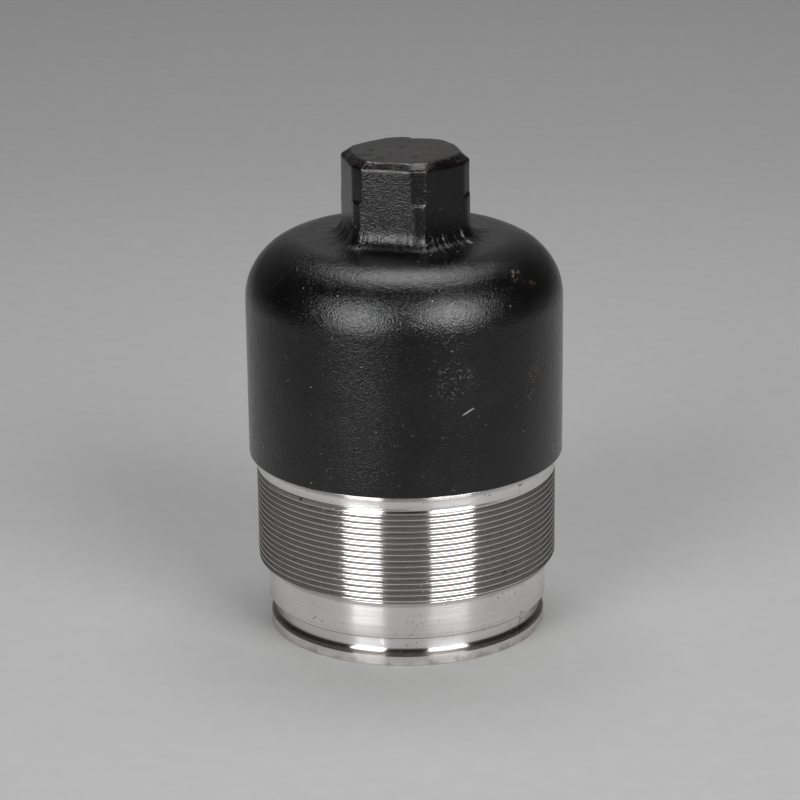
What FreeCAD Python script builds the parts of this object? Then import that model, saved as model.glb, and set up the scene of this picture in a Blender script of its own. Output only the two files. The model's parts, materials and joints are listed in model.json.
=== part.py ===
import FreeCAD, Part
import math
import os

# A screw-in pressure filter bowl, standing on its open rim with the hex drive up.
# Units are mm. +Z is the bowl's axis and points to the hex; the origin is the centre of the rim.

# ---- bowl: screw thread, pilot and seal groove ----
THREAD_D = 75.0            # M75 x 1.5
THREAD_PITCH = 1.5
THREAD_ALLOWANCE = 0.02    # crest sits this far inside the nominal radius
PILOT_STEP = 2.5           # thread radius over the head's 70 mm pilot bore
PILOT_CLEARANCE = 0.03     # radial, in that bore
PILOT_LAND = 8.25
LIP_HEIGHT = 2.42
LIP_SETBACK = 0.32         # lip radius below the pilot radius
SEAL_GROOVE_WIDTH = 4.9
SEAL_GROOVE_DEPTH = 2.12
THREADED_LENGTH = 24.25    # from the top of the lead chamfer
THREAD_RUN_IN = 0.75       # first groove above the foot of the lead chamfer
PLAIN_BAND = 1.35

# ---- bowl: forging ----
BARREL_STEP = 1.75         # barrel radius over the thread radius
SHOULDER_R = 15.07
SHOULDER_SLOPE = 2.0       # degrees, of the nearly flat top
CROWN = 9.97               # metal over the ceiling, at the shoulder
HEX_AF = 29.2              # forged, for a 30 mm socket
HEX_HEIGHT = 20.68         # over the shoulder's middle
HEX_TURN = -17.0           # degrees of the front flat from -Y
HEX_OFF_AXIS = 0.5         # the forging's mismatch with the turned axis
HEX_CORNER_RATIO = 1.08    # corner facet distance over flat distance
HEX_STEP_UP = 10.2         # the forging step above the shoulder
HEX_STEP_OUT = 0.35
HEX_BASE_FILLET = 3.4
HEX_TOP_CHAMFER = 1.65

# ---- bowl: inside ----
WALL_AT_GROOVE = 4.35      # between the seal groove and the bore
CEILING_CORNER_R = 8.0
POCKET_DEPTH = 3.0
POCKET_CLEARANCE = 0.7     # round the bowl spring
RIM_CHAMFER = 1.0
RING_WIRE_D = 2.5
RING_GROOVE_Z = 9.6
RING_GROOVE_SPARE = 0.2    # groove width over the wire
RING_GAP_DEG = 24.0

# ---- filter element ----
ANNULUS = 6.1              # oil gap between the caps and the bore
SPIGOT_BORE_D = 22.0
SPIGOT_BORE_LENGTH = 8.0
COLLAR_WALL = 1.5
REST_GAP = 0.1             # element over the retaining ring
CAP_FLOOR = 2.5
CAP_RIM_HEIGHT = 5.0
CAP_WALL = 1.0
CAP_EDGE = 0.6
LUG_CLEARANCE = 0.4        # lugs in the bowl's bore
LUG_WIDTH = 7.0
LUG_COUNT = 4
POTTING = 1.5
PLEAT_LENGTH = 48.0
PLEAT_COUNT = 40
PLEAT_CORE_GAP = 0.6
MESH_STEP = 0.8            # radial step of a support mesh in the zigzag
MEDIA_STEP = 1.2
WRAP_WALL = 0.6
CORE_WALL = 0.8
BAND_WIDTH = 5.0
BAND_WALL = 0.35
GASKET_INSET = 1.2         # outside the spigot bore
GASKET_WIDTH = 4.0
GASKET_THICK = 1.8
GASKET_RECESS = 1.2

# ---- bowl spring ----
BOWL_SPRING_WIRE = 2.0
BOWL_SPRING_TURNS = 5.5
BOWL_SPRING_HEIGHT = 23.8  # as fitted
SEAT_WALL = 1.0
SEAT_FLANGE_HEIGHT = 4.0
SEAT_SPRING_CLEARANCE = 0.6
SEAT_RIVET_CLEARANCE = 0.55
SEAT_BRIM = 1.2

# ---- bypass valve ----
SEAT_LIP = 0.8
SEAT_LIP_HEIGHT = 0.5
SEAL_THICK = 1.0
POPPET_OVERLAP = 1.3       # poppet radius over the seat lip
POPPET_THICK = 1.6
POPPET_BOSS_GAP = 1.9      # boss in the port
STEM_R = 2.0
STEM_CLEARANCE = 0.05
CAGE_CLEARANCE = 0.6
CAGE_CORE_CLEARANCE = 0.2
CAGE_WALL = 0.8
BUSH_WALL = 1.2
BUSH_LENGTH = 3.2
BUSH_FLANGE = 0.8
BYPASS_WIRE = 1.2
BYPASS_TURNS = 6.0
BYPASS_SPRING_HEIGHT = 12.1  # as fitted
RIVET_R = 1.0
RIVET_HEAD_R = 1.5
RIVET_HEAD = 0.7
RIVET_COUNT = 3
RIVET_CLEARANCE = 0.15     # heads to the cage's wall and the flange's edge

# ---- derived: bowl mouth and bore ----
thread_r = THREAD_D / 2 - THREAD_ALLOWANCE
root_r = THREAD_D / 2 - 0.6134 * THREAD_PITCH
pilot_r = THREAD_D / 2 - PILOT_STEP - PILOT_CLEARANCE
barrel_r = THREAD_D / 2 + BARREL_STEP
lip_r = pilot_r - LIP_SETBACK
groove_r = pilot_r - SEAL_GROOVE_DEPTH
pilot_z0 = LIP_HEIGHT + SEAL_GROOVE_WIDTH
pilot_z1 = pilot_z0 + PILOT_LAND
thread_z0 = pilot_z1 + (thread_r - pilot_r)
thread_z1 = thread_z0 + THREADED_LENGTH
band_z1 = thread_z1 + PLAIN_BAND
skin_z = band_z1 + (barrel_r - thread_r)
bore_r = groove_r - WALL_AT_GROOVE
ring_groove_r = bore_r + RING_WIRE_D / 2
ring_z = RING_GROOVE_Z + RING_WIRE_D / 2
ring_top = RING_GROOVE_Z + RING_WIRE_D

# ---- derived: element ----
cap_r = bore_r - ANNULUS
cap_z0 = ring_top + REST_GAP
cap_z1 = cap_z0 + CAP_FLOOR
spigot_r = SPIGOT_BORE_D / 2
core_in = spigot_r + COLLAR_WALL
core_out = core_in + CORE_WALL
pleat_z0 = cap_z1 + POTTING
pleat_z1 = pleat_z0 + PLEAT_LENGTH
wrap_out = cap_r - CAP_WALL
wrap_in = wrap_out - WRAP_WALL
mesh_tip = wrap_in - MESH_STEP
media_tip = mesh_tip - MEDIA_STEP
inner_tip = media_tip - MESH_STEP
pleat_depth = inner_tip - core_out - PLEAT_CORE_GAP
top_cap_z0 = pleat_z1 + POTTING
top_cap_z1 = top_cap_z0 + CAP_FLOOR

# ---- derived: bypass valve, which fills the core tube's end ----
flange_r = core_in - CAGE_CORE_CLEARANCE
cage_out = flange_r - 2 * (RIVET_HEAD_R + RIVET_CLEARANCE)
cage_in = cage_out - CAGE_WALL
poppet_r = cage_in - CAGE_CLEARANCE
port_r = poppet_r - POPPET_OVERLAP - SEAT_LIP
boss_r = port_r - POPPET_BOSS_GAP
rivet_circle = (cage_out + flange_r) / 2
lip_z = top_cap_z0 - SEAT_LIP_HEIGHT
seal_z0 = lip_z - SEAL_THICK
poppet_z0 = seal_z0 - POPPET_THICK
cage_z0 = poppet_z0 - BYPASS_SPRING_HEIGHT - CAGE_WALL
bush_r = STEM_R + STEM_CLEARANCE
bush_out = bush_r + BUSH_WALL
bush_z0 = cage_z0 - BUSH_FLANGE

# ---- derived: bowl spring, its seat and its pocket ----
seat_in = rivet_circle + RIVET_HEAD_R + SEAT_RIVET_CLEARANCE
seat_out = seat_in + SEAT_WALL
spring_r = seat_out + SEAT_SPRING_CLEARANCE + BOWL_SPRING_WIRE / 2
spring_out = spring_r + BOWL_SPRING_WIRE / 2
pocket_r = spring_out + POCKET_CLEARANCE
seat_z1 = top_cap_z1 + SEAT_WALL
pocket_top = seat_z1 + BOWL_SPRING_HEIGHT
ceiling = pocket_top - POCKET_DEPTH
ceiling_r = bore_r - CEILING_CORNER_R
barrel_top = ceiling + CROWN - SHOULDER_R


def at(r, z):
    return FreeCAD.Vector(r, 0, z)


def line(a, b):
    return Part.makeLine(at(*a), at(*b))


def arc(a, mid, b):
    return Part.Arc(at(*a), at(*mid), at(*b)).toShape()


def spun(edges):
    """Solid turned from a closed profile in the XZ plane."""
    face = Part.Face(Part.Wire(edges))
    return face.revolve(FreeCAD.Vector(), FreeCAD.Vector(0, 0, 1), 360)


def turned(points):
    """Solid turned from a closed polygon of (radius, height) points."""
    return spun([line(a, b) for a, b in zip(points, points[1:] + points[:1])])


def ring(inner, outer, z0, z1):
    return turned([(inner, z0), (outer, z0), (outer, z1), (inner, z1)])


def disc(radius, z0, z1):
    return Part.makeCylinder(radius, z1 - z0, at(0, z0))


def prism(points, z0, z1):
    corners = [FreeCAD.Vector(x, y, z0) for x, y in points]
    return Part.Face(Part.makePolygon(corners + corners[:1])).extrude(FreeCAD.Vector(0, 0, z1 - z0))


def polar(r, degrees):
    return r * math.cos(math.radians(degrees)), r * math.sin(math.radians(degrees))


def spoke(x0, x1, width, z0, z1, degrees):
    """Bar along a radius, turned about the axis."""
    bar = Part.makeBox(x1 - x0, width, z1 - z0, FreeCAD.Vector(x0, -width / 2, z0))
    bar.rotate(FreeCAD.Vector(), FreeCAD.Vector(0, 0, 1), degrees)
    return bar


def drills(radius, reach, heights, count, turn=0.0):
    """Radial drills for a perforated tube, every second row set half a step round."""
    step = 360 / count
    out = []
    for row, z in enumerate(heights):
        for k in range(count):
            x, y = polar(1, turn + step * (k + 0.5 * (row % 2)))
            out.append(Part.makeCylinder(radius, reach, at(0, z), FreeCAD.Vector(x, y, 0)))
    return out


def spread(z0, z1, rows):
    step = (z1 - z0) / rows
    return [z0 + step * (k + 0.5) for k in range(rows)]


def coil(mean_r, wire, z0, z1, turns):
    """Compression spring with closed ends, ground flat at z0 and z1."""
    closed = wire * 1.04
    active = turns - 2
    middle = (z1 - z0 - wire * 0.5 - 2 * closed) / active
    points = []
    for k in range(int(turns * 16) + 1):
        t = k / 16
        rise = closed * min(t, 1) + middle * min(max(t - 1, 0), active) + closed * max(t - 1 - active, 0)
        x, y = polar(mean_r, 360 * t)
        points.append(FreeCAD.Vector(x, y, z0 + wire * 0.25 + rise))
    path = Part.BSplineCurve()
    path.interpolate(points)
    start = path.tangent(path.FirstParameter)[0]
    section = Part.Wire(Part.makeCircle(wire / 2, points[0], start))
    body = Part.Wire(path.toShape()).makePipeShell([section], True, True)
    return body.common(disc(mean_r + wire, z0, z1))


def save(node, shape):
    if shape.ShapeType == "Compound" and len(shape.Solids) == 1:
        shape = shape.Solids[0]
    if not shape.isValid() or shape.Volume <= 0:
        raise ValueError("bad solid: " + node)
    shape.exportStep("parts/" + node + ".step")


os.makedirs("parts", exist_ok=True)


# ---- filter_bowl ----
def bowl_blank():
    """Turned body: lip, seal groove, pilot, thread blank, barrel, shoulder and the bored inside."""
    cx, cz = barrel_r - SHOULDER_R, barrel_top
    slope = math.radians(SHOULDER_SLOPE)
    tip = math.pi / 2 - slope
    shoulder_end = (cx + SHOULDER_R * math.cos(tip), cz + SHOULDER_R * math.sin(tip))
    shoulder_mid = (cx + SHOULDER_R * math.cos(tip / 2), cz + SHOULDER_R * math.sin(tip / 2))
    apex = (0, shoulder_end[1] + shoulder_end[0] * math.tan(slope))
    fillet = lip_r - groove_r
    edge = 0.15
    half = fillet * math.sqrt(0.5)
    lower = [(bore_r + RIM_CHAMFER, 0), (lip_r - 2 * edge, 0), (lip_r, 2 * edge), (lip_r, LIP_HEIGHT)]
    middle = [
        (groove_r, LIP_HEIGHT + fillet), (groove_r, pilot_z0), (pilot_r - edge, pilot_z0),
        (pilot_r, pilot_z0 + edge), (pilot_r, pilot_z1), (thread_r, thread_z0), (thread_r, band_z1),
        (barrel_r, skin_z), (barrel_r, barrel_top),
    ]
    corner_mid = (ceiling_r + CEILING_CORNER_R * math.sqrt(0.5),
                  ceiling - CEILING_CORNER_R * (1 - math.sqrt(0.5)))
    wall_top = (bore_r, ceiling - CEILING_CORNER_R)
    groove_z1 = ring_top + RING_GROOVE_SPARE
    inner = [
        wall_top, (bore_r, groove_z1), (ring_groove_r, groove_z1), (ring_groove_r, RING_GROOVE_Z),
        (bore_r, RING_GROOVE_Z), (bore_r, RIM_CHAMFER), lower[0],
    ]
    roof = [shoulder_end, apex, (0, pocket_top), (pocket_r, pocket_top), (pocket_r, ceiling),
            (ceiling_r, ceiling)]
    edges = [line(a, b) for a, b in zip(lower, lower[1:])]
    edges.append(arc(lower[-1], (lip_r - half, LIP_HEIGHT + fillet - half), middle[0]))
    edges += [line(a, b) for a, b in zip(middle, middle[1:])]
    edges.append(arc(middle[-1], shoulder_mid, shoulder_end))
    edges += [line(a, b) for a, b in zip(roof, roof[1:])]
    edges.append(arc(roof[-1], corner_mid, wall_top))
    edges += [line(a, b) for a, b in zip(inner, inner[1:])]
    return spun(edges), apex[1]


def hex_outline(corner_distance):
    """Hexagon with a narrow facet across each corner."""
    flat = HEX_AF / 2
    side = (corner_distance - flat * math.cos(math.pi / 6)) / math.sin(math.pi / 6)
    points = []
    for k in range(6):
        turn = math.radians(HEX_TURN - 90 + 60 * k)
        for s in (-side, side):
            points.append((flat * math.cos(turn) - s * math.sin(turn),
                           flat * math.sin(turn) + s * math.cos(turn)))
    return points


def hex_boss(foot, shoulder_z):
    """Forged drive hexagon: fuller corners under the step, top chamfered all round."""
    corner = HEX_AF / 2 * HEX_CORNER_RATIO
    step_z = shoulder_z + HEX_STEP_UP
    top_z = shoulder_z + HEX_HEIGHT
    boss = prism(hex_outline(corner + HEX_STEP_OUT), foot, step_z)
    boss = boss.fuse(prism(hex_outline(corner), step_z, top_z)).removeSplitter()
    boss = boss.makeChamfer(HEX_TOP_CHAMFER, [e for e in boss.Edges if e.BoundBox.ZMin > top_z - 0.1])
    boss.translate(FreeCAD.Vector(HEX_OFF_AXIS, 0, 0))
    return boss


def thread_cutter():
    """Helical 60 degree groove from the lead chamfer to the plain band."""
    over = 0.08
    outer = thread_r + over
    half_root = THREAD_PITCH / 12
    half_top = half_root + (outer - root_r) * math.tan(math.pi / 6)
    z0 = pilot_z1 + THREAD_RUN_IN
    height = thread_z1 - half_top - z0
    helix = Part.makeHelix(THREAD_PITCH, height, root_r)
    section = Part.makePolygon([
        at(root_r, -half_root), at(outer, -half_top), at(outer, half_top), at(root_r, half_root),
        at(root_r, -half_root)])
    cutter = Part.Wire(helix.Edges).makePipeShell([section], True, True)
    cutter.translate(FreeCAD.Vector(0, 0, z0))
    return cutter


def make_bowl():
    blank, shoulder_z = bowl_blank()
    body = blank.fuse(hex_boss(pocket_top + 2, shoulder_z)).removeSplitter()
    foot_r = HEX_AF / 2 * HEX_CORNER_RATIO * 1.15 + HEX_OFF_AXIS
    foot = [e for e in body.Edges
            if barrel_top + SHOULDER_R * 0.9 < e.BoundBox.ZMin and e.BoundBox.ZMax < shoulder_z + 0.2
            and all(math.hypot(v.X, v.Y) < foot_r for v in e.Vertexes)]
    body = body.makeFillet(HEX_BASE_FILLET, foot)
    return body.cut(thread_cutter())


save("filter_bowl", make_bowl())


# ---- retaining_ring: round wire sprung into the groove in the bore ----
def make_retaining_ring():
    wire_r = RING_WIRE_D / 2
    whole = Part.makeTorus(bore_r, wire_r, at(0, ring_z))
    a = math.radians(RING_GAP_DEG / 2)
    far = 2 * bore_r
    notch = prism([(0, 0), (far * math.cos(a), -far * math.sin(a)), (far * math.cos(a), far * math.sin(a))],
                  ring_z - wire_r, ring_z + wire_r)
    return whole.cut(notch)


save("retaining_ring", make_retaining_ring())


# ---- open_cap: end cap at the mouth, with the spigot bore and four lugs ----
def make_open_cap():
    collar_top = cap_z0 + SPIGOT_BORE_LENGTH
    rim_top = cap_z1 + CAP_RIM_HEIGHT
    gasket_in = spigot_r + GASKET_INSET
    gasket_out = gasket_in + GASKET_WIDTH
    cap = turned([
        (spigot_r, cap_z0), (gasket_in, cap_z0), (gasket_in, cap_z0 + GASKET_RECESS),
        (gasket_out, cap_z0 + GASKET_RECESS), (gasket_out, cap_z0), (cap_r - CAP_EDGE, cap_z0),
        (cap_r, cap_z0 + CAP_EDGE), (cap_r, rim_top), (wrap_out, rim_top), (wrap_out, cap_z1),
        (core_in, cap_z1), (core_in, collar_top), (spigot_r, collar_top)])
    reach = bore_r - LUG_CLEARANCE
    for k in range(LUG_COUNT):
        lug = spoke(cap_r - 2, reach + 1, LUG_WIDTH, cap_z0, cap_z1, 45 + 360 / LUG_COUNT * k)
        cap = cap.fuse(lug.common(disc(reach, cap_z0, cap_z1)))
    gasket = ring(gasket_in, gasket_out, cap_z0 + GASKET_RECESS - GASKET_THICK, cap_z0 + GASKET_RECESS)
    return cap.removeSplitter(), gasket


open_cap, face_gasket = make_open_cap()
save("open_cap", open_cap)
save("face_gasket", face_gasket)

# ---- potting: adhesive beds that hold the pleats in both caps ----
save("potting_open", ring(core_out, wrap_out, cap_z1, pleat_z0))
save("potting_closed", ring(core_out, wrap_out, pleat_z1, top_cap_z0))

# ---- core_tube: perforated tube from cap to cap ----
core = ring(core_in, core_out, cap_z1, top_cap_z0)
core_rows = spread(cap_z0 + SPIGOT_BORE_LENGTH, pleat_z1 - 1, 7)
save("core_tube", core.cut(Part.makeCompound(drills(1.8, core_out + 2, core_rows, 10))))

# ---- outer_wrap: perforated sleeve over the pleats ----
wrap = ring(wrap_in, wrap_out, pleat_z0, pleat_z1)
bands_z = [pleat_z0 + PLEAT_LENGTH * f for f in (0.36, 0.64)]
wrap_rows = spread(cap_z1 + CAP_RIM_HEIGHT + 0.5, pleat_z1 - CAP_RIM_HEIGHT + POTTING - 0.5, 9)
wrap_rows = [z for z in wrap_rows if all(abs(z - b) > BAND_WIDTH / 2 + 1.6 for b in bands_z)]
save("outer_wrap", wrap.cut(Part.makeCompound(drills(1.5, wrap_out + 2, wrap_rows, 18))))

# ---- wrap_bands: two thin straps round the sleeve ----
save("wrap_bands", Part.makeCompound([
    ring(wrap_out, wrap_out + BAND_WALL, z - BAND_WIDTH / 2, z + BAND_WIDTH / 2) for z in bands_z]))


# ---- pleats: media between two support meshes, as one zigzag of three layers ----
def zigzag(tip_r):
    """Outline through the pleats' crests at tip_r and their folds, one pleat depth inside."""
    points = []
    for k in range(PLEAT_COUNT):
        for r, middle in ((tip_r, 0.0), (tip_r - pleat_depth, 0.5)):
            for s in (-0.06, 0.06):
                points.append(polar(r, 360 / PLEAT_COUNT * (k + middle + s)))
    return points


def pleated(inner_tip, outer_tip):
    """One layer of the pack, between two zigzags."""
    faces = [Part.Face(Part.makePolygon([FreeCAD.Vector(x, y, pleat_z0) for x, y in p + p[:1]]))
             for p in (zigzag(outer_tip), zigzag(inner_tip))]
    return faces[0].cut(faces[1]).Faces[0].extrude(FreeCAD.Vector(0, 0, PLEAT_LENGTH))


save("downstream_mesh", pleated(inner_tip, media_tip))
save("media_pack", pleated(media_tip, mesh_tip))
save("upstream_mesh", pleated(mesh_tip, wrap_in))


# ---- seam_clip: folded strip in one pleat, over the joined edges of the media ----
def make_seam_clip():
    turn = 180 / PLEAT_COUNT
    valley = wrap_in - pleat_depth
    tip_x = wrap_in * math.cos(math.radians(0.44 * 2 * turn))
    tip_y = wrap_in * math.sin(math.radians(0.44 * 2 * turn))
    foot_y = valley * math.sin(math.radians(0.06 * 2 * turn))
    foot_x = valley * math.cos(math.radians(0.06 * 2 * turn))
    slant = (tip_y - foot_y) / (tip_x - foot_x)
    x0, x1, slot = foot_x + pleat_depth * 0.25, tip_x - pleat_depth * 0.1, 0.16
    y0, y1 = foot_y + slant * (x0 - foot_x), foot_y + slant * (x1 - foot_x)
    clip = prism([(x0, -y0), (x1, -y1), (x1, -slot), (x0 + 0.5, -slot), (x0 + 0.5, slot), (x1, slot),
                  (x1, y1), (x0, y0)], pleat_z0, pleat_z1)
    clip.rotate(FreeCAD.Vector(), FreeCAD.Vector(0, 0, 1), turn)
    return clip


save("seam_clip", make_seam_clip())


# ---- closed_cap: end cap at the dome end, with the bypass port and its seat lip ----
def rivet_places():
    return [polar(rivet_circle, 90 + 360 / RIVET_COUNT * k) for k in range(RIVET_COUNT)]


def make_closed_cap():
    rim_foot = top_cap_z0 - CAP_RIM_HEIGHT
    cap = turned([
        (port_r, lip_z), (port_r + SEAT_LIP, lip_z), (port_r + SEAT_LIP, top_cap_z0),
        (wrap_out, top_cap_z0), (wrap_out, rim_foot), (cap_r, rim_foot), (cap_r, top_cap_z1 - CAP_EDGE),
        (cap_r - CAP_EDGE, top_cap_z1), (port_r, top_cap_z1)])
    for x, y in rivet_places():
        cap = cap.cut(Part.makeCylinder(RIVET_R, CAP_FLOOR, FreeCAD.Vector(x, y, top_cap_z0)))
    return cap


save("closed_cap", make_closed_cap())


# ---- bypass_cage: windowed cup under the closed cap, holding the stem bush ----
def make_bypass_cage():
    floor_top = cage_z0 + CAGE_WALL
    flange_z = top_cap_z0 - CAGE_WALL
    cage = turned([
        (bush_out, cage_z0), (cage_out, cage_z0), (cage_out, flange_z), (flange_r, flange_z),
        (flange_r, top_cap_z0), (cage_in, top_cap_z0), (cage_in, floor_top), (bush_out, floor_top)])
    for k in range(4):
        window = spoke(cage_in - 1, cage_out + 1, 6.0, floor_top + 2.5, flange_z - 3.5, 45 + 90 * k)
        cage = cage.cut(window)
    for x, y in rivet_places():
        cage = cage.cut(Part.makeCylinder(RIVET_R, CAGE_WALL, FreeCAD.Vector(x, y, flange_z)))
    return cage


save("bypass_cage", make_bypass_cage())

# ---- stem_bush: flanged bearing for the poppet's stem ----
save("stem_bush", turned([
    (bush_r, bush_z0), (bush_out + 1.0, bush_z0), (bush_out + 1.0, cage_z0), (bush_out, cage_z0),
    (bush_out, bush_z0 + BUSH_LENGTH), (bush_r, bush_z0 + BUSH_LENGTH)]))


# ---- cage_rivets: three rivets through the cage flange and the closed cap ----
def make_rivet(x, y):
    under = top_cap_z0 - CAGE_WALL
    shank = disc(RIVET_R, under, top_cap_z1)
    heads = [turned([(0, a), (RIVET_HEAD_R, a), (RIVET_HEAD_R * 0.6, b), (0, b)])
             for a, b in ((under, under - RIVET_HEAD), (top_cap_z1, top_cap_z1 + RIVET_HEAD))]
    rivet = shank.multiFuse(heads).removeSplitter()
    rivet.translate(FreeCAD.Vector(x, y, 0))
    return rivet


save("cage_rivets", Part.makeCompound([make_rivet(x, y) for x, y in rivet_places()]))

# ---- bypass_poppet and its seal washer ----
stem_foot = bush_z0 - 2.0
save("bypass_poppet", turned([
    (0, stem_foot), (STEM_R - 0.4, stem_foot), (STEM_R, stem_foot + 0.4), (STEM_R, poppet_z0),
    (poppet_r, poppet_z0), (poppet_r, seal_z0), (boss_r, seal_z0), (boss_r, lip_z + 0.6),
    (boss_r - 0.6, lip_z + 1.2), (0, lip_z + 1.2)]))
save("bypass_seal", ring(boss_r, poppet_r - 0.3, seal_z0, lip_z))

# ---- bypass_spring: round the stem, between the cage floor and the poppet ----
bypass_spring_r = (bush_out + poppet_r) / 2
save("bypass_spring", coil(bypass_spring_r, BYPASS_WIRE, cage_z0 + CAGE_WALL, poppet_z0, BYPASS_TURNS))

# ---- spring_seat and bowl_spring ----
save("spring_seat", turned([
    (seat_in, top_cap_z1), (spring_out + SEAT_BRIM, top_cap_z1), (spring_out + SEAT_BRIM, seat_z1),
    (seat_out, seat_z1), (seat_out, seat_z1 + SEAT_FLANGE_HEIGHT - 0.4),
    (seat_out - 0.4, seat_z1 + SEAT_FLANGE_HEIGHT), (seat_in, seat_z1 + SEAT_FLANGE_HEIGHT)]))
save("bowl_spring", coil(spring_r, BOWL_SPRING_WIRE, seat_z1, pocket_top, BOWL_SPRING_TURNS))
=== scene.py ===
import json
import math

import bmesh
import bpy
import numpy as np
from mathutils import Matrix, Quaternion, Vector


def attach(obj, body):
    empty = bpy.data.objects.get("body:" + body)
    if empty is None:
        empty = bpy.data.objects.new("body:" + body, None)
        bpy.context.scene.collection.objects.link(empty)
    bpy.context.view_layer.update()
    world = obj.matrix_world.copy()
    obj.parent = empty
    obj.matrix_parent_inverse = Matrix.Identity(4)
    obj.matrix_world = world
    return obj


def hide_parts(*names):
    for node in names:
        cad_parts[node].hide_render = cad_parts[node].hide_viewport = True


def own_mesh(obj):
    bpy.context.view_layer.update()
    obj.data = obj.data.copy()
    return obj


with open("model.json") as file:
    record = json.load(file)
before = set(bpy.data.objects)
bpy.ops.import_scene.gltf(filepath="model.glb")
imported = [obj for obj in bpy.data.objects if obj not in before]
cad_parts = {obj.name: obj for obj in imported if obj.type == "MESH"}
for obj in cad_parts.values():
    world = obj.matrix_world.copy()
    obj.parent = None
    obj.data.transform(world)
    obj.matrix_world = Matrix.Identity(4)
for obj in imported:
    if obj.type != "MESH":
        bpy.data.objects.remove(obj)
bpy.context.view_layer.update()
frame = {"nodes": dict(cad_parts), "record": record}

nodes = frame["nodes"]

MM = 0.001
TAU = 2 * math.pi
COLUMNS = 720           # points round the bowl
SHARP = math.radians(24)   # edges folded more than this stay crisp

# ---------------------------------------------------------------- bowl sizes, in mm, as in the CAD
BARREL_R = 39.25
SKIN_Z = 45.47          # where the forged skin starts, above the machined chamfer
BARREL_TOP = 84.9
SHOULDER_R = 15.07
SLOPE = math.radians(2)
HEIGHT = 121.5
HEX_FLAT = 14.6
HEX_CORNER = HEX_FLAT * 1.08     # distance of the corner facets
HEX_STEP_OUT = 0.35
HEX_STEP_Z = 111.0
HEX_CHAMFER = 1.65
HEX_TURN = math.radians(-107)
HEX_OFF_AXIS = 0.5
FACET_SKEW = math.radians(6)   # the forged corner facets aren't quite square to the corners
PITCH = 1.5
CREST_R, ROOT_R = 37.48, 36.58
PILOT_R, LIP_R, GROOVE_R = 34.97, 34.65, 32.85
PILOT_Z0, PILOT_Z1 = 7.32, 15.57
THREAD_START, THREAD_END = 16.32, 42.33
BAND_TOP = 43.68
LIP_TOP = 2.42
BORE_R = 28.5
RING_GROOVE_R = 29.75
RING_GROOVE_Z0, RING_GROOVE_Z1 = 9.6, 12.3
CEILING_BEND, CEILING_CORNER = 82.0, 8.0   # foot and radius of the bend between bore and ceiling
CEILING = 90.0
POCKET_R, POCKET_TOP = 17.0, 93.0


# ---------------------------------------------------------------- noise for shapes
def hashed(i, j, k, seed):
    h = i * 374761393 + j * 668265263 + k * 2147483647 + seed * 1274126177
    h = (h ^ (h >> 13)) * 1274126177
    h = (h ^ (h >> 16)) & 0xFFFFFF
    return h / float(0xFFFFFF) * 2 - 1


def noise(p, size, seed=0):
    """Smooth value noise, -1..1, with blobs about `size` across. p is (..., 3) in mm."""
    q = p / size
    base = np.floor(q).astype(np.int64)
    f = q - base
    f = f * f * f * (f * (f * 6 - 15) + 10)
    out = 0
    for a in (0, 1):
        for b in (0, 1):
            for c in (0, 1):
                w = ((f[..., 0] if a else 1 - f[..., 0]) * (f[..., 1] if b else 1 - f[..., 1])
                     * (f[..., 2] if c else 1 - f[..., 2]))
                out = out + w * hashed(base[..., 0] + a, base[..., 1] + b, base[..., 2] + c, seed)
    return out


def smooth(x, a, b):
    t = np.clip((x - a) / (b - a), 0, 1)
    return t * t * (3 - 2 * t)


# ---------------------------------------------------------------- mesh helpers
phi = np.arange(COLUMNS) / COLUMNS * TAU     # angle of each column


def mesh_object(name, points, faces):
    """Smooth-shaded object in the scene, from points in mm."""
    mesh = bpy.data.meshes.new(name)
    mesh.from_pydata((np.asarray(points) * MM).tolist(), [], faces)
    mesh.polygons.foreach_set("use_smooth", [True] * len(mesh.polygons))
    mesh.update()
    obj = bpy.data.objects.new(name, mesh)
    bpy.context.scene.collection.objects.link(obj)
    return obj


def rounded(corners, spans):
    """Rows along a polyline whose corners are eased.

    corners: list of ((r, z), reach of the curve, samples in it); r and z may be arrays over the columns.
    spans: samples in the run before each corner after the first.
    Returns two arrays, rows by columns."""
    pts = [np.stack([np.broadcast_to(np.asarray(c, float), (COLUMNS,)) for c in corner[0]], -1)
           for corner in corners]
    rows = [pts[0]]
    for i in range(1, len(pts)):
        here, before = pts[i], pts[i - 1]
        last = i == len(pts) - 1
        reach, bend = corners[i][1], corners[i][2]
        into = here - before
        size = np.linalg.norm(into, axis=-1, keepdims=True) + 1e-9
        start = here if last else here - into / size * np.minimum(reach, size * 0.49)
        runs = spans[i - 1]
        previous = rows[-1]
        for k in range(1, runs + 1):
            rows.append(previous + (start - previous) * (k / runs))
        if last:
            break
        out = pts[i + 1] - here
        size = np.linalg.norm(out, axis=-1, keepdims=True) + 1e-9
        end = here + out / size * np.minimum(reach, size * 0.49)
        for k in range(1, bend + 1):
            t = k / bend
            rows.append((1 - t) ** 2 * start + 2 * t * (1 - t) * here + t * t * end)
    stack = np.stack(rows)
    return stack[..., 0], stack[..., 1]


def grid_points(r, z):
    return np.stack([r * np.cos(phi), r * np.sin(phi), np.broadcast_to(z, r.shape)], -1)


def grid_faces(rows, first=0):
    row = first + np.arange(rows - 1)[:, None] * COLUMNS
    column = np.arange(COLUMNS)[None, :]
    a = row + column
    b = row + (column + 1) % COLUMNS
    return np.stack([a, b, b + COLUMNS, a + COLUMNS], -1).reshape(-1, 4)


def grid_normals(p):
    across = np.roll(p, -1, 1) - np.roll(p, 1, 1)
    along = np.gradient(p, axis=0)
    n = np.cross(across, along)
    return n / (np.linalg.norm(n, axis=-1, keepdims=True) + 1e-9)


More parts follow.
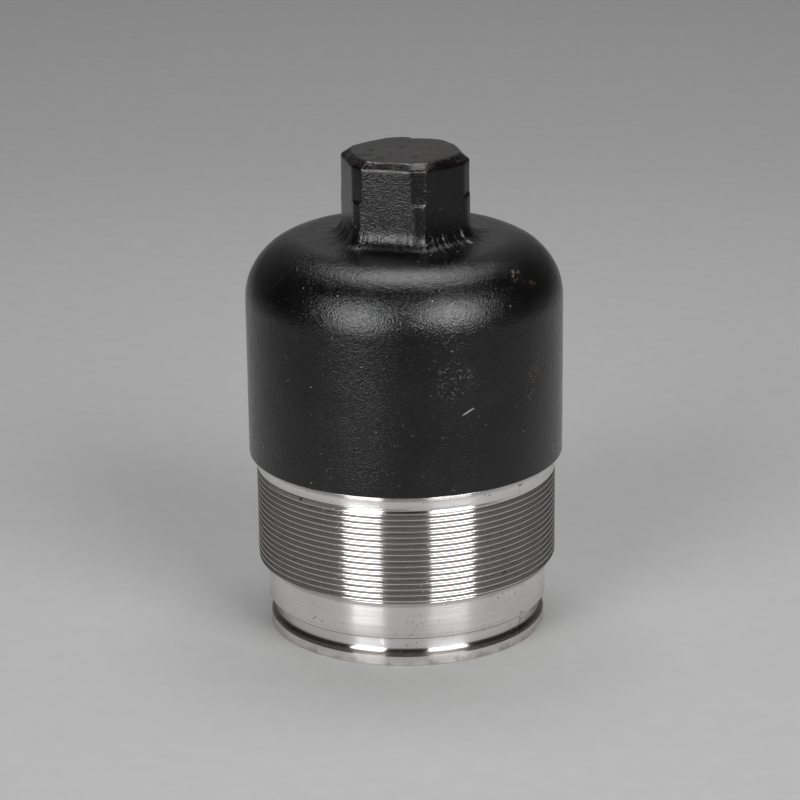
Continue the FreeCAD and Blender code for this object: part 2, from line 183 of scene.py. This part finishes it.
# ---------------------------------------------------------------- forged skin
def hex_radius(corner):
    """Radius of the twelve-sided outline with slightly eased edges."""
    power = 120
    total = 0
    for k in range(12):
        flat = k % 2 == 0
        distance = HEX_FLAT if flat else corner
        c = np.cos(phi - (HEX_TURN + k * math.pi / 6 - (0 if flat else FACET_SKEW)))
        total = total + np.where(c > 0.5, np.maximum(c, 0.5) / distance, 0) ** power
    return total ** (-1 / power)


def ripple(size, seed, height=0.0):
    """Noise round the boss, one value a column."""
    ringed = np.stack([16 * np.cos(phi), 16 * np.sin(phi), np.full(COLUMNS, height)], -1)
    return noise(ringed, size, seed)


def forged_skin():
    """Black outside of the bowl: barrel, shoulder and the hex on top."""
    low_r = hex_radius(HEX_CORNER + HEX_STEP_OUT)
    high_r = hex_radius(HEX_CORNER)
    cx = BARREL_R - SHOULDER_R
    rows_r, rows_z = [], []
    edge = [(BARREL_R - 0.42, SKIN_Z - 0.32), (BARREL_R - 0.16, SKIN_Z - 0.1),
            (BARREL_R - 0.04, SKIN_Z + 0.06), (BARREL_R, SKIN_Z + 0.25)]
    for r, z in edge:
        rows_r.append(np.full(COLUMNS, r))
        rows_z.append(np.full(COLUMNS, z))
    for z in np.linspace(SKIN_Z + 0.55, BARREL_TOP, 104):
        rows_r.append(np.full(COLUMNS, BARREL_R))
        rows_z.append(np.full(COLUMNS, z))
    for t in np.linspace(0, math.pi / 2 - SLOPE, 62)[1:]:
        rows_r.append(np.full(COLUMNS, cx + SHOULDER_R * math.cos(t)))
        rows_z.append(np.full(COLUMNS, BARREL_TOP + SHOULDER_R * math.sin(t)))
    end_r, end_z = rows_r[-1][0], rows_z[-1][0]
    foot_z = end_z + (end_r - low_r) * math.tan(SLOPE)
    top_r = (0.55 * (high_r - HEX_CHAMFER) + 0.45 * (HEX_FLAT - HEX_CHAMFER)
             + 0.14 * ripple(5, 11) + 0.08 * ripple(1.6, 12))
    step_z = HEX_STEP_Z + 0.25 * ripple(4, 13)
    chamfer_z = HEIGHT - HEX_CHAMFER * (1.06 + 0.16 * ripple(3.5, 14))
    r, z = rounded([
        ((end_r, end_z), 0, 0),
        ((low_r, foot_z), 4.6, 18),
        ((low_r, step_z), 0.35, 3),
        ((high_r, step_z + 0.55), 0.35, 3),
        ((high_r, chamfer_z), 0.55, 5),
        ((top_r, np.full(COLUMNS, HEIGHT - 0.05)), 0.5, 5),
        ((0.02, HEIGHT - 0.1), 0, 0)],
        [7, 14, 2, 18, 5, 26])
    r = np.concatenate([np.stack(rows_r), r[1:]])
    z = np.concatenate([np.stack(rows_z), z[1:]])
    p = grid_points(r, z)
    p[..., 0] += HEX_OFF_AXIS * (1 - smooth(r, 20.5, end_r)) * (p[..., 2] > foot_z - 1)
    n = grid_normals(p)
    height = p[..., 2]
    fade = smooth(height, SKIN_Z - 0.4, SKIN_Z + 1.2)
    boss = smooth(height, foot_z + 2.5, foot_z + 5)
    centre = smooth(r, 0.3, 2.5)
    peel = 0.010 * noise(p, 0.9, 1) + 0.010 * noise(p, 1.8, 2) + 0.025 * noise(p, 5, 3)
    swell = 0.05 * noise(p, 20, 4) * (1 - boss)
    at_foot = (np.exp(-((height - foot_z - 1.2) / 2.4) ** 2)
               * smooth(r, 13, 14.5) * (1 - smooth(r, 18.5, 22.5)))
    flow = 0.11 * ripple(0.75, 21) + 0.12 * ripple(1.7, 22)
    marks = -0.16 * smooth(noise(p, 2.6, 31), 0.45, 0.8) * smooth(height, HEIGHT - 0.5, HEIGHT - 0.2)
    ragged = 0.03 * noise(p, 0.7, 5) * smooth(height, HEIGHT - 5, HEIGHT - 1)
    lift = (peel + swell + ragged) * (0.35 + 0.65 * fade) * centre + flow * at_foot + marks * centre
    p = p + n * lift[..., None]
    p[-1] = p[-1].mean(0)
    faces = grid_faces(len(p))
    return mesh_object("bowl_forging", p.reshape(-1, 3), faces.tolist())


# ---------------------------------------------------------------- machined end
def thread_rows():
    """Rows that follow the helix, so crests and roots stay crisp.

    Returns radii and heights, rows by columns, and the rows in a turn."""
    half_root = PITCH / 12
    half_top = half_root + (CREST_R - ROOT_R) * math.tan(math.pi / 6)
    ease = 0.035
    offsets = [-half_top - ease, -half_top + ease, -(half_root + half_top) / 2, -half_root - ease,
               -half_root * 0.35, half_root * 0.35, half_root + ease, (half_root + half_top) / 2,
               half_top - ease, half_top + ease]
    depth = CREST_R - ROOT_R
    shares = [0.0, 0.045, 0.5, 0.93, 1.0, 1.0, 0.93, 0.5, 0.045, 0.0]
    winding = phi / TAU
    points = []
    for turn in range(-2, 20):
        for offset, share in zip(offsets, shares):
            w = turn + winding
            z = THREAD_START + PITCH * w + offset
            last = (THREAD_END - half_top - THREAD_START) / PITCH
            fading = smooth(last - w, 0.0, 0.35)
            r = CREST_R - depth * share * fading
            chamfer = PILOT_R + (z - PILOT_Z1)
            r = np.minimum(r, chamfer)
            points.append(np.stack([r, z], -1))
    rows = np.stack(points)
    z = np.clip(rows[..., 1], PILOT_Z1, THREAD_END)
    r = np.where(rows[..., 1] >= THREAD_END, CREST_R, rows[..., 0])
    r = np.where(rows[..., 1] <= PILOT_Z1, PILOT_R, r)
    return r, z, len(offsets)


def machined_end():
    """Thread, plain band, pilot, seal groove, lip and the whole inside of the bowl."""
    r, z, per_turn = thread_rows()
    thread = grid_points(r, z).reshape(-1, 3)
    rows = len(r)
    row = np.arange(rows - 1)[:, None]
    column = np.arange(COLUMNS)[None, :]
    seam = (column == COLUMNS - 1)
    a = row * COLUMNS + column
    b = (row + seam * per_turn) * COLUMNS + (column + 1) % COLUMNS
    b = np.where(seam & (row + per_turn > rows - 2), -1, b)
    quads = np.stack([a, b, b + COLUMNS, a + COLUMNS], -1).reshape(-1, 4)
    quads = quads[b.reshape(-1) >= 0]
    heights = z.reshape(-1)[quads]
    flattened = (heights <= PILOT_Z1 + 1e-6).all(1) | (heights >= THREAD_END - 1e-6).all(1)
    faces = quads[~flattened].tolist()

    fillet = LIP_R - GROOVE_R
    cove = [(LIP_R - fillet * math.sin(t), LIP_TOP + fillet - fillet * math.cos(t))
            for t in np.linspace(0, math.pi / 2, 15)]
    bend_r = BORE_R - CEILING_CORNER
    bend = [(bend_r + CEILING_CORNER * math.cos(t), CEILING_BEND + CEILING_CORNER * math.sin(t))
            for t in np.linspace(0, math.pi / 2, 14)[1:]]
    upper = [
        # chamfer under the forging, plain band and the thread's end
        (BARREL_R - 0.3, SKIN_Z + 0.3), (BARREL_R - 0.02, SKIN_Z - 0.04), (BARREL_R - 0.6, SKIN_Z - 0.62),
        (CREST_R + 0.6, BAND_TOP + 0.6), (CREST_R + 0.03, BAND_TOP + 0.02), (CREST_R, BAND_TOP - 0.1),
        (CREST_R, THREAD_END)]
    lower = [
        # pilot and its lower edge, then the seal groove down to its cove
        (PILOT_R, PILOT_Z1), (PILOT_R, PILOT_Z1 - 0.06), (PILOT_R, PILOT_Z0 + 4), (PILOT_R, PILOT_Z0 + 0.14),
        (PILOT_R - 0.03, PILOT_Z0 + 0.05), (PILOT_R - 0.12, PILOT_Z0), (GROOVE_R + 0.05, PILOT_Z0),
        (GROOVE_R, PILOT_Z0 - 0.05), (GROOVE_R, 4.6), *cove[::-1],
        # lip, rim and the chamfer into the bore
        (LIP_R, LIP_TOP - 0.02), (LIP_R, 0.34), (LIP_R - 0.08, 0.14), (LIP_R - 0.3, 0.0), (32.0, 0.0),
        (BORE_R + 1.1, 0.0), (BORE_R + 0.95, 0.05), (BORE_R + 0.05, 0.95), (BORE_R, 1.05),
        # retaining ring's groove
        (BORE_R, RING_GROOVE_Z0 - 0.15), (BORE_R + 0.03, RING_GROOVE_Z0 - 0.03),
        (BORE_R + 0.1, RING_GROOVE_Z0),
        (RING_GROOVE_R - 0.03, RING_GROOVE_Z0), (RING_GROOVE_R, RING_GROOVE_Z0 + 0.05),
        (RING_GROOVE_R, RING_GROOVE_Z1 - 0.05), (RING_GROOVE_R - 0.03, RING_GROOVE_Z1),
        (BORE_R + 0.1, RING_GROOVE_Z1), (BORE_R + 0.03, RING_GROOVE_Z1 + 0.03),
        (BORE_R, RING_GROOVE_Z1 + 0.15),
        # bore, ceiling and the spring's pocket
        (BORE_R, 40.0), (BORE_R, CEILING_BEND), *bend,
        (POCKET_R + 0.1, CEILING), (POCKET_R, CEILING + 0.1), (POCKET_R, POCKET_TOP - 0.1),
        (POCKET_R - 0.1, POCKET_TOP), (8.0, POCKET_TOP), (0.02, POCKET_TOP)]
    points = [thread]
    first = len(thread)
    for profile in (upper, lower):
        rr, zz = (np.array(values)[:, None] * np.ones((1, COLUMNS)) for values in zip(*profile))
        part = grid_points(rr, zz).reshape(-1, 3)
        faces += grid_faces(len(profile), first)[:, ::-1].tolist()
        points.append(part)
        first += len(part)
    obj = mesh_object("bowl_machined", np.concatenate(points), faces)
    bm = bmesh.new()
    bm.from_mesh(obj.data)
    bmesh.ops.remove_doubles(bm, verts=bm.verts, dist=2e-8)
    loose = [v for v in bm.verts if not v.link_faces]
    bmesh.ops.delete(bm, geom=loose, context="VERTS")
    for e in bm.edges:
        if len(e.link_faces) == 2 and e.calc_face_angle(0) > SHARP:
            e.smooth = False
    bm.to_mesh(obj.data)
    bm.free()
    return obj


# ---------------------------------------------------------------- materials
class Shader:
    """A node tree with short calls, for procedural finishes."""

    def __init__(self, name):
        self.material = bpy.data.materials.new(name)
        self.material.use_nodes = True
        self.tree = self.material.node_tree
        self.tree.nodes.clear()
        self.out = self.tree.nodes.new("ShaderNodeOutputMaterial")
        self.main = self.tree.nodes.new("ShaderNodeBsdfPrincipled")
        self.tree.links.new(self.main.outputs[0], self.out.inputs[0])
        self.place = self.tree.nodes.new("ShaderNodeTexCoord").outputs["Object"]

    def put(self, node, index, value):
        """Link a socket to an input, or set the input to a constant."""
        if isinstance(value, bpy.types.NodeSocket):
            self.tree.links.new(value, node.inputs[index])
        else:
            node.inputs[index].default_value = value

    def math(self, operation, a, b=0.0, clamp=False):
        node = self.tree.nodes.new("ShaderNodeMath")
        node.operation = operation
        node.use_clamp = clamp
        for i, v in enumerate((a, b)):
            self.put(node, i, v)
        return node.outputs[0]

    def times(self, *values):
        """Product of all the values."""
        product = values[0]
        for value in values[1:]:
            product = self.math("MULTIPLY", product, value)
        return product

    def plus(self, *values, clamp=False):
        """Sum of all the values; clamp holds it to 0..1."""
        total = values[0]
        for value in values[1:]:
            total = self.math("ADD", total, value, clamp=clamp)
        return total

    def split(self):
        """x, y and z on the object, in metres."""
        node = self.tree.nodes.new("ShaderNodeSeparateXYZ")
        self.put(node, 0, self.place)
        return node.outputs

    def join(self, x, y, z):
        node = self.tree.nodes.new("ShaderNodeCombineXYZ")
        for i, v in enumerate((x, y, z)):
            self.put(node, i, v)
        return node.outputs[0]

    def noise(self, scale, detail=3.0, rough=0.5, vector=None, stretch=None):
        if stretch:
            node = self.tree.nodes.new("ShaderNodeMapping")
            self.put(node, 0, self.place)
            node.inputs["Scale"].default_value = stretch
            vector = node.outputs[0]
        node = self.tree.nodes.new("ShaderNodeTexNoise")
        self.put(node, "Vector", vector or self.place)
        node.inputs["Scale"].default_value = scale
        node.inputs["Detail"].default_value = detail
        node.inputs["Roughness"].default_value = rough
        return node.outputs[0]

    def cells(self, scale):
        """Distance to the nearest of many scattered points."""
        node = self.tree.nodes.new("ShaderNodeTexVoronoi")
        self.put(node, "Vector", self.place)
        node.inputs["Scale"].default_value = scale
        return node.outputs["Distance"]

    def ramp(self, value, a, b, low=0.0, high=1.0):
        """low up to a and high from b, smooth between them."""
        node = self.tree.nodes.new("ShaderNodeMapRange")
        node.interpolation_type = "SMOOTHSTEP"
        self.put(node, 0, value)
        for i, v in enumerate((a, b, low, high)):
            node.inputs[i + 1].default_value = v
        return node.outputs[0]

    def mix(self, factor, a, b):
        node = self.tree.nodes.new("ShaderNodeMix")
        node.data_type = "RGBA"
        self.put(node, 0, factor)
        for index, v in ((6, a), (7, b)):
            self.put(node, index, v if isinstance(v, bpy.types.NodeSocket) else (*v, 1))
        return node.outputs[2]

    def bump(self, height, strength, distance, normal=None):
        node = self.tree.nodes.new("ShaderNodeBump")
        node.inputs["Strength"].default_value = strength
        node.inputs["Distance"].default_value = distance
        self.put(node, "Height", height)
        if normal:
            self.put(node, "Normal", normal)
        return node.outputs[0]

    def radius(self):
        x, y, _ = self.split()
        return self.math("SQRT", self.plus(self.times(x, x), self.times(y, y)))

    def near(self, x, y, z, inner, outer):
        """1 within `inner` of a place on the object, fading to 0 at `outer`."""
        node = self.tree.nodes.new("ShaderNodeVectorMath")
        node.operation = "DISTANCE"
        self.put(node, 0, self.place)
        node.inputs[1].default_value = (x, y, z)
        return self.ramp(node.outputs["Value"], inner, outer, 1.0, 0.0)

    def set(self, **values):
        for name, v in values.items():
            name = name.replace("_", " ")
            if isinstance(v, tuple):
                v = (*v, 1)
            self.put(self.main, name, v)
        return self.material


def forged_black():
    """Satin black coat over forged grain, with wear, dust, rust, rubs and a scratch, and a painted sheen on
    the top of the hex.
    """
    s = Shader("black_forging")
    x, _, z = s.split()

    pits = s.ramp(s.noise(420, 3, 0.6), 0.66, 0.72)
    height = s.plus(s.times(s.noise(1500, 2), 0.55), s.times(s.noise(2600, 2), 1.15),
                    s.times(s.noise(620, 2), 0.2))
    height = s.math("SUBTRACT", height, s.times(pits, 0.5))
    normal = s.bump(height, 1.0, 0.00011)

    colour = s.mix(s.ramp(s.noise(60, 4, 0.6), 0.35, 0.7), (0.0012, 0.0012, 0.0013), (0.0036, 0.0034, 0.0034))
    worn = s.times(s.ramp(s.noise(700, 4, 0.7), 0.62, 0.70), s.ramp(s.noise(22, 2), 0.46, 0.60))
    colour = s.mix(s.times(worn, 0.22), colour, (0.10, 0.094, 0.09))
    dust = s.times(s.ramp(s.cells(330), 0.035, 0.085, 1.0, 0.0), s.ramp(s.noise(75, 2), 0.52, 0.58))
    colour = s.mix(s.times(dust, 0.6), colour, (0.36, 0.35, 0.34))

    rust_at = s.plus(s.near(0.0313, -0.0237, 0.0715, 0.0004, 0.0034),
                     s.near(0.0304, -0.0248, 0.0672, 0.0004, 0.0026),
                     s.near(0.0262, -0.0215, 0.0950, 0.0004, 0.0034),
                     s.near(0.0300, -0.0195, 0.0925, 0.0002, 0.0022))
    rust = s.times(rust_at, s.ramp(s.noise(620, 5, 0.75), 0.50, 0.58))
    rust_colour = s.mix(s.ramp(s.noise(1600, 2), 0.50, 0.60), (0.075, 0.042, 0.028), (0.21, 0.165, 0.13))
    colour = s.mix(s.math("MULTIPLY", rust, 0.65, clamp=True), colour, rust_colour)

    rubbed_at = s.plus(s.near(0.0118, -0.0374, 0.0745, 0.0030, 0.0062),
                       s.near(0.0118, -0.0374, 0.0850, 0.0010, 0.0042))
    rubbed = s.times(rubbed_at, s.ramp(s.noise(1100, 3, 0.7), 0.55, 0.63))
    colour = s.mix(s.times(rubbed, 0.45), colour, (0.11, 0.10, 0.10))

    # painted sheen: the top 2.4 mm of the hex is made lighter and browner than the coat, in patches
    painted_crown_sheen = s.times(s.ramp(z, 0.1188, 0.1212), s.ramp(s.noise(300, 4, 0.6), 0.35, 0.65))
    colour = s.mix(s.times(painted_crown_sheen, 0.7), colour, (0.017, 0.012, 0.010))

    scratch_x, scratch_y, scratch_z = 0.0149, -0.0363, 0.0662
    off_line = s.plus(s.times(s.math("SUBTRACT", x, scratch_x), -0.53), s.math("SUBTRACT", z, scratch_z))
    scratch = s.times(s.near(scratch_x, scratch_y, scratch_z, 0.0008, 0.0021),
                      s.ramp(s.math("ABSOLUTE", off_line), 0.00005, 0.00035, 1.0, 0.0))
    colour = s.mix(s.times(scratch, 0.55), colour, (0.40, 0.40, 0.40))

    rough = s.ramp(s.noise(330, 4, 0.65), 0.25, 0.75, 0.11, 0.18)
    rough = s.plus(rough, s.times(s.plus(dust, rust), 0.3), clamp=True)
    return s.set(Base_Color=colour, Roughness=rough, Normal=normal)


def turned_steel(name, colour, rough):
    """Bright machined steel, with tool lines round the axis, nicks and light rust tints, and painted shade on
    the thread's flanks, in the seal groove's cove and along the pilot's lower edge.
    """
    s = Shader(name)
    x, y, z = s.split()
    r = s.radius()
    angle = s.math("ARCTAN2", y, x)
    lines = s.noise(1.0, 3, 0.6, vector=s.join(s.times(r, 9000), s.times(angle, 0.35), s.times(z, 9000)))
    bands = s.noise(1.0, 3, 0.55, vector=s.join(s.times(r, 1400), s.times(angle, 1.2), s.times(z, 1400)))
    scuffs = s.ramp(s.noise(130, 8, 0.78), 0.60, 0.70)
    nicks = s.times(s.ramp(s.noise(560, 5, 0.8), 0.60, 0.66), s.ramp(s.noise(75, 2), 0.44, 0.54))

    tint = s.mix(s.ramp(bands, 0.3, 0.7), tuple(c * 0.90 for c in colour), colour)
    tint = s.mix(s.times(s.ramp(s.noise(45, 4, 0.6), 0.5, 0.75), 0.25), tint, (0.50, 0.45, 0.41))
    # painted shade: the thread's flanks and roots, below the crests, are darker grey than the crests
    painted_thread_shade = s.times(s.ramp(z, 0.0165, 0.0175), s.ramp(r, 0.03735, 0.03746, 1.0, 0.0),
                    s.ramp(z, 0.0412, 0.0416, 1.0, 0.0))
    tint = s.mix(painted_thread_shade, tint, (0.50, 0.485, 0.475))
    # painted shade: the cove at the foot of the seal groove is darkened
    cove = s.times(s.ramp(z, 0.00240, 0.00246), s.ramp(z, 0.0034, 0.0043, 1.0, 0.0),
                   s.ramp(r, 0.0310, 0.0320))
    tint = s.mix(cove, tint, (0.40, 0.385, 0.37))
    # painted shade: a thin dark line along the pilot's lower edge, where it overhangs the groove
    painted_edge_shade = s.times(s.ramp(z, 0.00718, 0.00726), s.ramp(z, 0.00744, 0.00756, 1.0, 0.0),
                   s.ramp(r, 0.0345, 0.0347))
    tint = s.mix(painted_edge_shade, tint, (0.04, 0.037, 0.035))
    rim_rust = s.times(s.ramp(z, 0.0002, 0.0030, 1.0, 0.0), s.ramp(s.noise(260, 5, 0.75), 0.42, 0.62))
    tint = s.mix(s.times(rim_rust, 0.5), tint, (0.26, 0.17, 0.12))
    tint = s.mix(s.times(nicks, 0.75), tint, (0.10, 0.085, 0.075))

    roughness = s.plus(s.ramp(bands, 0.2, 0.8, rough * 0.94, rough * 1.06),
                       s.plus(s.times(scuffs, 0.10), s.times(nicks, 0.2)), clamp=True)
    normal = s.bump(lines, 0.2, 0.00001)
    normal = s.bump(s.plus(nicks, s.times(scuffs, 0.3)), 0.25, -0.00003, normal)
    tangent = s.tree.nodes.new("ShaderNodeTangent")
    tangent.direction_type = "RADIAL"
    tangent.axis = "Z"
    s.tree.links.new(tangent.outputs[0], s.main.inputs["Tangent"])
    return s.set(Base_Color=tint, Metallic=1.0, Roughness=roughness, Normal=normal,
                 Anisotropic=1.0, Anisotropic_Rotation=0.25)


def plated_steel(name, colour, rough, weave=0.0):
    """Drawn or pressed steel with brushing and blotches; weave adds crossing wires."""
    s = Shader(name)
    brushed = s.noise(900, 3, 0.6, stretch=(1, 1, 0.06))
    blotch = s.noise(120, 5, 0.65)
    spots = s.ramp(s.noise(480, 6, 0.75), 0.66, 0.74)
    tint = s.mix(s.ramp(blotch, 0.3, 0.7), tuple(c * 0.82 for c in colour), colour)
    tint = s.mix(s.times(spots, 0.35), tint, (0.22, 0.19, 0.15))
    height = s.plus(brushed, s.times(blotch, 0.4))
    if weave:
        x, y, z = s.split()
        angle = s.times(s.math("ARCTAN2", y, x), weave * 34)
        wires = s.times(s.math("SINE", angle), s.math("SINE", s.times(z, weave * 1900)))
        height = s.plus(height, s.times(wires, 1.4))
        tint = s.mix(s.ramp(wires, -0.2, 0.5, 0.0, 0.65), tint, (0.12, 0.12, 0.125))
    normal = s.bump(height, 0.3, 0.00003)
    roughness = s.ramp(blotch, 0.25, 0.8, rough * 0.75, rough * 1.35)
    return s.set(Base_Color=tint, Metallic=1.0, Roughness=roughness, Normal=normal)


def soft_material(name, colour, shade, rough, scale, depth, fibres=False):
    """Grainy matt stuff in two tones: fibre, resin, rubber or sintered metal."""
    s = Shader(name)
    grain = s.noise(scale, 6, 0.7, stretch=(1, 1, 5) if fibres else None)
    patch = s.noise(scale * 0.12, 4, 0.6)
    tint = s.mix(s.ramp(s.plus(s.times(grain, 0.5), s.times(patch, 0.5)), 0.35, 0.65), shade, colour)
    normal = s.bump(s.plus(grain, patch), 0.5, depth)
    roughness = s.ramp(grain, 0.3, 0.7, rough * 0.85, min(1.0, rough * 1.1))
    return s.set(Base_Color=tint, Roughness=roughness, Normal=normal)


forged = forged_black()
machined = turned_steel("machined_steel", (0.90, 0.885, 0.875), 0.20)
finishes = {
    "bright_steel": plated_steel("bright_steel", (0.60, 0.60, 0.57), 0.32),
    "spring_steel": plated_steel("spring_steel", (0.30, 0.30, 0.31), 0.28),
    "mesh_wire": plated_steel("mesh_wire", (0.58, 0.58, 0.57), 0.35, weave=1.0),
    "glass_fibre": soft_material(
        "glass_fibre", (0.86, 0.85, 0.78), (0.70, 0.68, 0.60), 0.9, 2600, 0.00006, fibres=True),
    "potting_resin": soft_material(
        "potting_resin", (0.62, 0.50, 0.30), (0.48, 0.36, 0.20), 0.35, 500, 0.00004),
    "black_rubber": soft_material(
        "black_rubber", (0.022, 0.022, 0.023), (0.012, 0.012, 0.012), 0.6, 1500, 0.00003),
    "sintered_bronze": soft_material(
        "sintered_bronze", (0.56, 0.36, 0.17), (0.36, 0.22, 0.10), 0.45, 3000, 0.00004),
    "rivet_steel": plated_steel("rivet_steel", (0.68, 0.68, 0.69), 0.25),
}
finishes["sintered_bronze"].node_tree.nodes["Principled BSDF"].inputs["Metallic"].default_value = 1.0

# ---------------------------------------------------------------- bowl pieces on the bowl's body
skin = forged_skin()
end = machined_end()
for piece, material in ((skin, forged), (end, machined)):
    piece.data.materials.append(material)
    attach(piece, "bowl")
    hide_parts("filter_bowl")

# ---------------------------------------------------------------- finishes of the pieces inside
for entry in frame["record"]["subparts"]:
    node = nodes[entry["node"]]
    if entry["node"] != "filter_bowl":
        for holder in node.material_slots:
            holder.material = finishes[entry["material_slot"]]


# ---------------------------------------------------------------- springs, as copies of the CAD springs
def coil_spring(name, body):
    """The CAD spring's shape as a piece of its own on the given body, in spring steel; the CAD part is
    hidden.
    """
    mesh = nodes[name].data.copy()
    mesh.materials.clear()
    mesh.materials.append(finishes["spring_steel"])
    spring = bpy.data.objects.new(name + "_coil", mesh)
    spring.matrix_world = nodes[name].matrix_world
    bpy.context.scene.collection.objects.link(spring)
    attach(spring, body)
    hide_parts(name)
    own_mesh(spring)


coil_spring("bowl_spring", "bowl")
coil_spring("bypass_spring", "element")


# ---------------------------------------------------------------- floor
def floor_material():
    """Pale matt paper, with painted shade that makes it dimmer behind the object and outside the picture."""
    s = Shader("studio_floor")
    x, y, _ = s.split()
    mottle = s.ramp(s.noise(140, 3, 0.6), 0.3, 0.7, -0.005, 0.005)
    # painted shade: the tone falls off behind the object
    tone = s.plus(0.345, s.ramp(y, 0.13, 0.55, 0.0, -0.058), mottle)
    # painted shade: much darker in front of the picture and darker to both sides
    tone = s.times(tone, s.ramp(y, -0.25, -0.11, 0.35, 1.0),
                   s.ramp(s.math("ABSOLUTE", x), 0.19, 0.42, 1.0, 0.55))
    return s.set(Base_Color=s.join(tone, tone, tone), Roughness=0.75)


def studio_sweep():
    """Floor that bends up behind the object into a plain wall."""
    bend_y, bend_r = 1.1, 0.5
    profile = [(-2.0, 0.0), (bend_y, 0.0)]
    profile += [(bend_y + bend_r * math.sin(t), bend_r - bend_r * math.cos(t))
                for t in np.linspace(0, math.pi / 2, 17)[1:]]
    profile.append((bend_y + bend_r, 1.5))
    points = [(x, y, z) for y, z in profile for x in (-3, 3)]
    faces = [(2 * i, 2 * i + 1, 2 * i + 3, 2 * i + 2) for i in range(len(profile) - 1)]
    mesh = bpy.data.meshes.new("floor")
    mesh.from_pydata(points, [], faces)
    mesh.polygons.foreach_set("use_smooth", [True] * len(faces))
    mesh.materials.append(floor_material())
    return bpy.data.objects.new("floor", mesh)


floor = studio_sweep()
floor.location = (0, 0, -0.00002)    # a hair under the rim, so that the two faces don't meet
bpy.context.scene.collection.objects.link(floor)


# ---------------------------------------------------------------- lights
def soft_box(name, place, target, width, height, power, lean=0.0):
    """Rectangular lamp aimed at target and turned by lean degrees in its own plane; sizes in metres."""
    lamp = bpy.data.lights.new(name, "AREA")
    lamp.shape = "RECTANGLE"
    lamp.size, lamp.size_y = width, height
    lamp.energy = power
    obj = bpy.data.objects.new(name, lamp)
    obj.location = place
    aim = (Vector(target) - Vector(place)).to_track_quat("-Z", "Y")
    obj.rotation_euler = (aim @ Quaternion((0, 0, 1), math.radians(lean))).to_euler()
    bpy.context.scene.collection.objects.link(obj)
    return obj


def round_spot(azimuth, distance):
    """A place round the object; azimuth 0 is the camera's side and grows to its right."""
    a = math.radians(azimuth)
    return distance * math.sin(a), -distance * math.cos(a)


lx, ly = round_spot(-35.2, 1.15)
soft_box("left_box", (lx, ly, 0.52), (0, 0, 0.08), 0.58, 1.0, 13.5, 14)
rx, ry = round_spot(36.4, 1.15)
soft_box("right_box", (rx, ry, 0.66), (0, 0, 0.14), 0.72, 0.90, 16.0, -12)
soft_box("top_box", (0.05, 0.30, 1.30), (0, 0.0, 0.05), 0.95, 0.5, 9.0)
soft_box("wall_box", (0.0, 0.75, 1.45), (0, 1.55, 0.45), 1.8, 0.3, 6.0)

world = bpy.data.worlds.new("studio")
bpy.context.scene.world = world
world.use_nodes = True
world.node_tree.nodes["Background"].inputs[0].default_value = (0.5, 0.5, 0.5, 1)
world.node_tree.nodes["Background"].inputs[1].default_value = 0.045

# ---------------------------------------------------------------- camera
UNIT = BARREL_R * MM / 100      # a hundredth of the barrel's radius
DISTANCE = 1968.2 * UNIT
SENSOR_MM, LENS_MM = 36.0, 139.0725
TILT, ROLL = math.radians(18.436), math.radians(0.644)
camera_data = bpy.data.cameras.new("camera")
camera_data.sensor_width = SENSOR_MM
camera_data.lens = LENS_MM
camera_data.clip_start, camera_data.clip_end = 0.01, 20
camera = bpy.data.objects.new("camera", camera_data)
aim_x, aim_z = -3.40 * UNIT, 145.9 * UNIT
camera.matrix_world = (
    Matrix.Translation((aim_x, -DISTANCE * math.cos(TILT), aim_z + DISTANCE * math.sin(TILT)))
    @ Matrix.Rotation(math.pi / 2 - TILT, 4, "X") @ Matrix.Rotation(-ROLL, 4, "Z"))
bpy.context.scene.collection.objects.link(camera)
bpy.context.scene.camera = camera

bpy.context.scene.view_settings.view_transform = "Standard"

bpy.context.view_layer.update()
